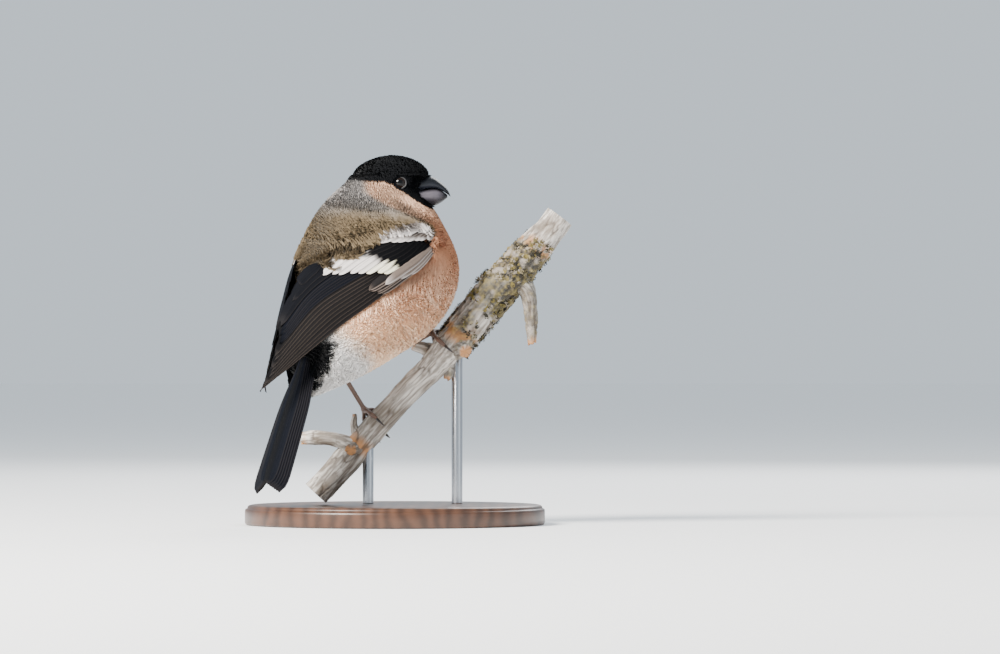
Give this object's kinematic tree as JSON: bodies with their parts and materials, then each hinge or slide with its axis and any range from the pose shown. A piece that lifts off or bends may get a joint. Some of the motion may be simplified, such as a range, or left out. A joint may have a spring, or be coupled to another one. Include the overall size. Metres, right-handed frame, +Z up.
{
  "type": "female bullfinch on a perch with display stand",
  "caption": "Life-size still model of a female bullfinch perched on a cut length of dead branch, held up by a flat base and short rods.",
  "frame": {"origin": "centre of the underside of the stand's round base, in the plane it rests on", "axes": "+Z up; +X the way the bird's head faces; the branch rises along +X, and +Y is the far side of the branch"},
  "size_m": [0.1305, 0.12, 0.1472],
  "materials": {
    "cap": "glossy blue-black plumage of the cap and face",
    "nape": "soft grey plumage of nape and neck",
    "mantle": "soft grey-brown plumage of back and breast",
    "rump": "loose white plumage of the rump",
    "belly": "soft peach plumage, white at the vent",
    "wing": "black flight feathers with paler edges and a grey-white bar",
    "bill": "smooth slate-grey horn",
    "bill_pale": "smooth paler grey horn",
    "eye": "wet, dark brown eye",
    "leg": "scaly brown skin of leg and toes",
    "claw": "dark brown horn of the claws",
    "bark": "weathered grey dead wood with bark and moss left on it",
    "steel": "brushed steel rod",
    "base_wood": "turned dark hardwood, satin varnish"
  },
  "bodies": {
    "root": {"head": "cap", "neck": "nape", "torso": "mantle", "rump": "rump", "belly": "belly", "bill_upper": "bill", "bill_lower": "bill_pale", "eye_left": "eye", "eye_right": "eye", "wing_left": "wing", "wing_right": "wing", "tail": "wing", "leg_left": "leg", "foot_left": "leg", "leg_right": "leg", "foot_right": "leg", "stand_rod_low": "steel", "stand_rod_high": "steel", "perch": "bark", "stand_base": "base_wood", "claw_left_inner": "claw", "claw_left_middle": "claw", "claw_left_outer": "claw", "claw_left_hind": "claw", "claw_right_inner": "claw", "claw_right_middle": "claw", "claw_right_outer": "claw", "claw_right_hind": "claw"}
  },
  "joints": []
}
